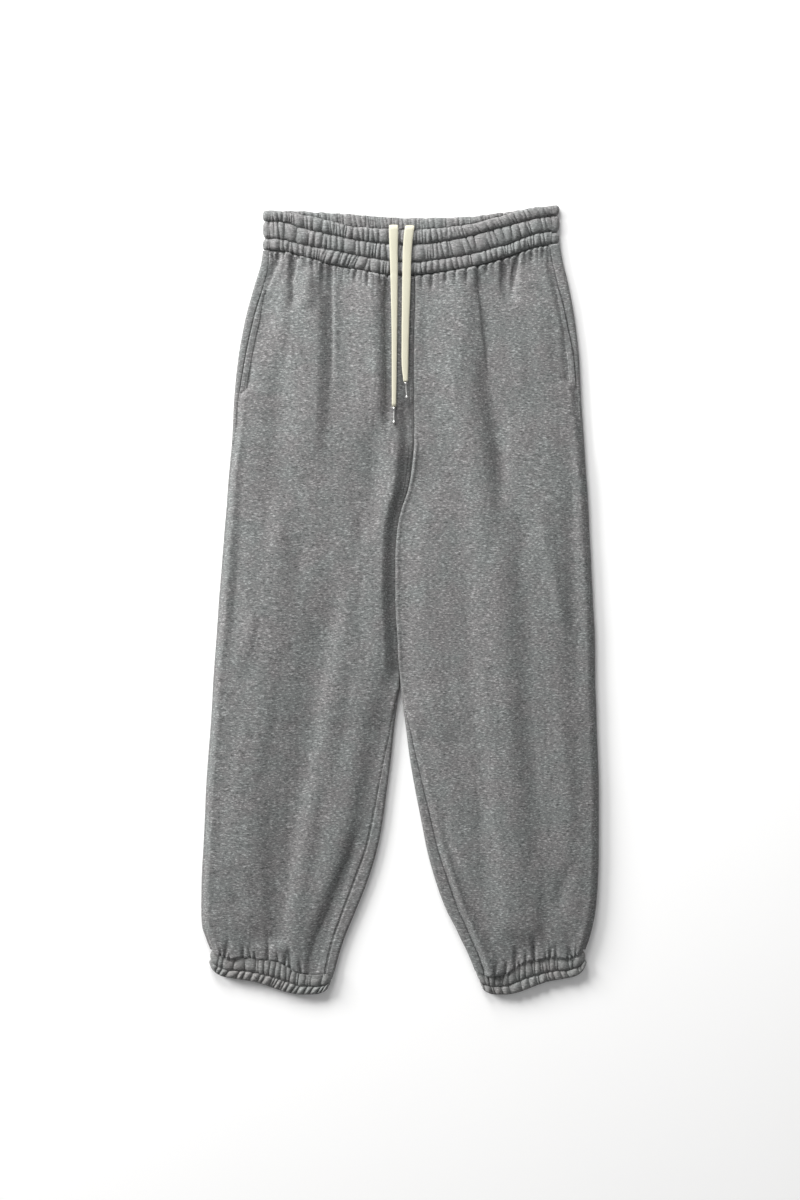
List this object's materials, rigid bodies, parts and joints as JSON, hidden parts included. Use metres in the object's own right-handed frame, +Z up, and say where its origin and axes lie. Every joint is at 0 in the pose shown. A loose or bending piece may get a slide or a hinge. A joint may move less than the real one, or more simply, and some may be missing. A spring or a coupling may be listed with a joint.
{
  "type": "jogger sweatpants",
  "caption": "Grey melange fleece joggers laid flat, with a stitched elastic waistband, flat cream drawcord with metal tips, side seam pockets and elastic cuffs.",
  "frame": {"origin": "centre of the garment's footprint, on the surface it lies on", "axes": "+X towards the wearer's left, +Y towards the waist, +Z up, out of the front of the garment"},
  "size_m": [0.504, 0.9994, 0.0178],
  "materials": {
    "fleece": "matte melange fleece",
    "waistband": "matte gathered fleece",
    "cuff": "matte gathered fleece",
    "cord": "knitted flat cord",
    "metal": "polished metal tips"
  },
  "bodies": {
    "root": {"front_right": "fleece", "front_left": "fleece", "back_right": "fleece", "back_left": "fleece", "pocket_hem_right": "fleece", "pocket_hem_left": "fleece", "waistband_front": "waistband", "waistband_back": "waistband", "cuff_right": "cuff", "cuff_left": "cuff", "drawcord_right": "cord", "drawcord_left": "cord", "aglet_right": "metal", "aglet_left": "metal"}
  },
  "joints": []
}
